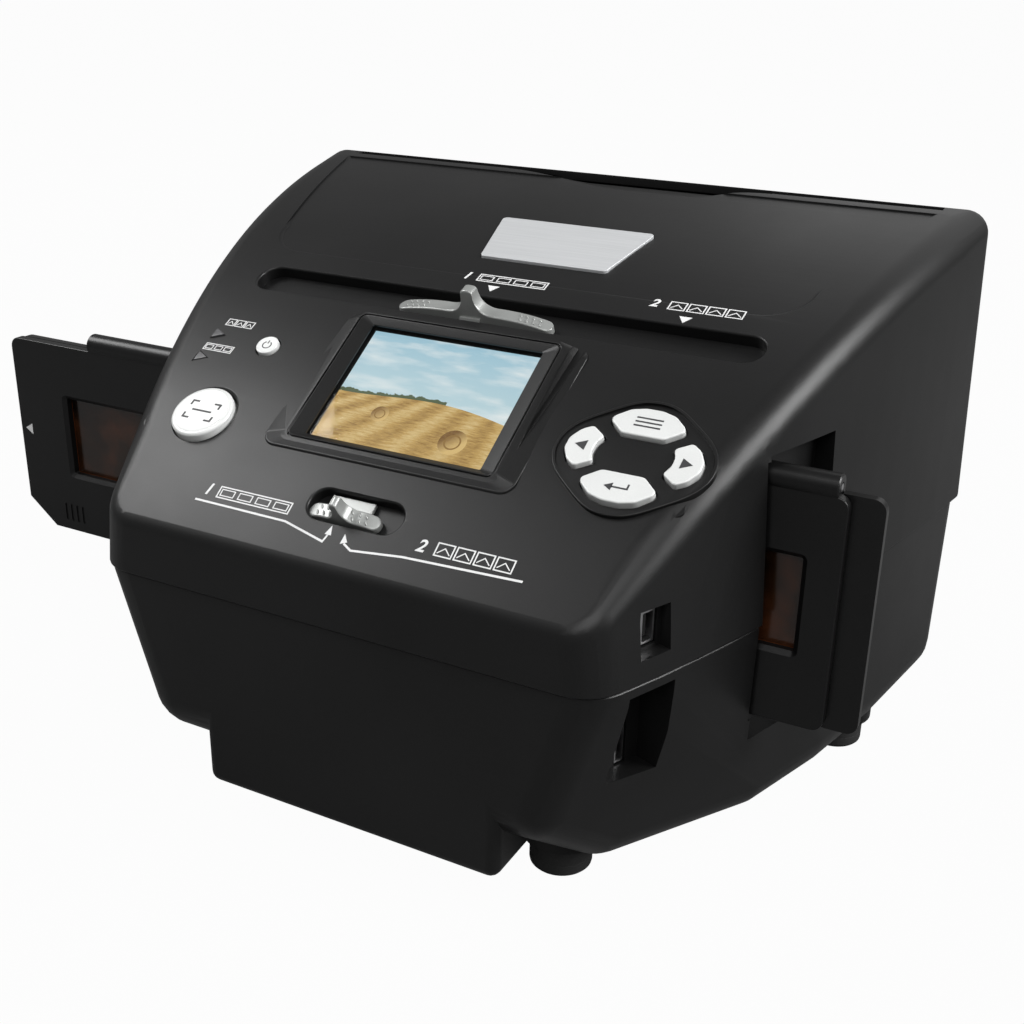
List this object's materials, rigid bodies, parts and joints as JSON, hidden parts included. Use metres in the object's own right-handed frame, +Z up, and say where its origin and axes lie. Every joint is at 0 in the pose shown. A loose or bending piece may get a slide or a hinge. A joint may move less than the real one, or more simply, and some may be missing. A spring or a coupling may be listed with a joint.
{
  "type": "film negative scanner",
  "caption": "Desktop scanner for film strips and photos: a wedge casing with a tilted screen, keys and sliding levers, and a long film holder running through its sides.",
  "frame": {"origin": "centre of the whole object's bounding box on the table, film holder at the fourth frame", "axes": "+X to the right along the film holder, +Y from the front to the rear, +Z up"},
  "size_m": [0.2624, 0.166, 0.1503],
  "materials": {
    "casing": "satin black moulded plastic",
    "inner_black": "matt black moulded plastic",
    "holder": "satin black moulded plastic",
    "silver": "satin silver lacquer on plastic",
    "window": "clear polished window",
    "display": "colour display",
    "lens_glass": "coated lens",
    "diffuser": "opal plastic",
    "light_pipe": "smoked clear plastic",
    "circuit": "green solder mask",
    "steel": "bright steel",
    "film": "developed colour negative film",
    "rubber": "matt black rubber"
  },
  "bodies": {
    "casing": {"upper_shell": "casing", "lower_shell": "casing", "screen_bezel": "casing", "screen_window": "window", "screen_panel": "display", "screen_board": "circuit", "name_plate": "silver", "photo_light": "light_pipe", "film_light": "light_pipe", "left_key_board": "circuit", "right_key_board": "circuit", "upper_rail": "steel", "lower_rail": "steel", "optical_frame": "inner_black", "sensor_board": "circuit", "port_board": "circuit", "card_socket": "steel", "usb_socket": "steel", "main_board": "circuit", "photo_guide_right": "inner_black", "photo_guide_left": "inner_black", "foot_front_left": "rubber", "foot_front_right": "rubber", "foot_rear_left": "rubber", "foot_rear_right": "rubber", "screw_front_left": "steel", "screw_front_right": "steel", "screw_rear_left": "steel", "screw_rear_right": "steel"},
    "film_holder": {"holder_front": "holder", "holder_back": "holder", "holder_pin": "steel", "film_strip": "film"},
    "backlight": {"backlight_lever": "silver", "backlight_carriage": "inner_black", "backlight_diffuser": "diffuser", "backlight_board": "circuit"},
    "focus": {"focus_lever": "silver"},
    "lens": {"lens_barrel": "inner_black", "lens_glass": "lens_glass"},
    "scan_key": {"scan_button": "silver"},
    "power_key": {"power_button": "silver"},
    "right_key": {"right_button": "silver"},
    "mode_key": {"mode_button": "silver"},
    "left_key": {"left_button": "silver"},
    "enter_key": {"enter_button": "silver"}
  },
  "joints": [
    {"name": "film_slide", "type": "slide", "parent": "casing", "child": "film_holder", "axis": [1, 0, 0], "range_m": [-0.076, 0.114]},
    {"name": "backlight_slide", "type": "slide", "parent": "casing", "child": "backlight", "axis": [1, 0, 0], "range_m": [0, 0.0526]},
    {"name": "focus_slide", "type": "slide", "parent": "casing", "child": "focus", "axis": [1, 0, 0], "range_m": [0, 0.0045]},
    {"name": "lens_slide", "type": "slide", "parent": "casing", "child": "lens", "axis": [0, 1, 0], "range_m": [0, 0.0012]},
    {"name": "scan_press", "type": "slide", "parent": "casing", "child": "scan_key", "axis": [0, 0.4961, -0.8683], "range_m": [0, 0.0008], "stiffness_N_per_m": 400, "springref_m": -0.001},
    {"name": "power_press", "type": "slide", "parent": "casing", "child": "power_key", "axis": [0, 0.4961, -0.8683], "range_m": [0, 0.0008], "stiffness_N_per_m": 400, "springref_m": -0.001},
    {"name": "right_press", "type": "slide", "parent": "casing", "child": "right_key", "axis": [0, 0.4953, -0.8687], "range_m": [0, 0.0008], "stiffness_N_per_m": 400, "springref_m": -0.001},
    {"name": "mode_press", "type": "slide", "parent": "casing", "child": "mode_key", "axis": [0, 0.4953, -0.8687], "range_m": [0, 0.0008], "stiffness_N_per_m": 400, "springref_m": -0.001},
    {"name": "left_press", "type": "slide", "parent": "casing", "child": "left_key", "axis": [0, 0.4953, -0.8687], "range_m": [0, 0.0008], "stiffness_N_per_m": 400, "springref_m": -0.001},
    {"name": "enter_press", "type": "slide", "parent": "casing", "child": "enter_key", "axis": [0, 0.4953, -0.8687], "range_m": [0, 0.0008], "stiffness_N_per_m": 400, "springref_m": -0.001}
  ],
  "couplings": [
    {"joint": "lens_slide", "follows": "focus_slide", "ratio": 0.26667}
  ]
}
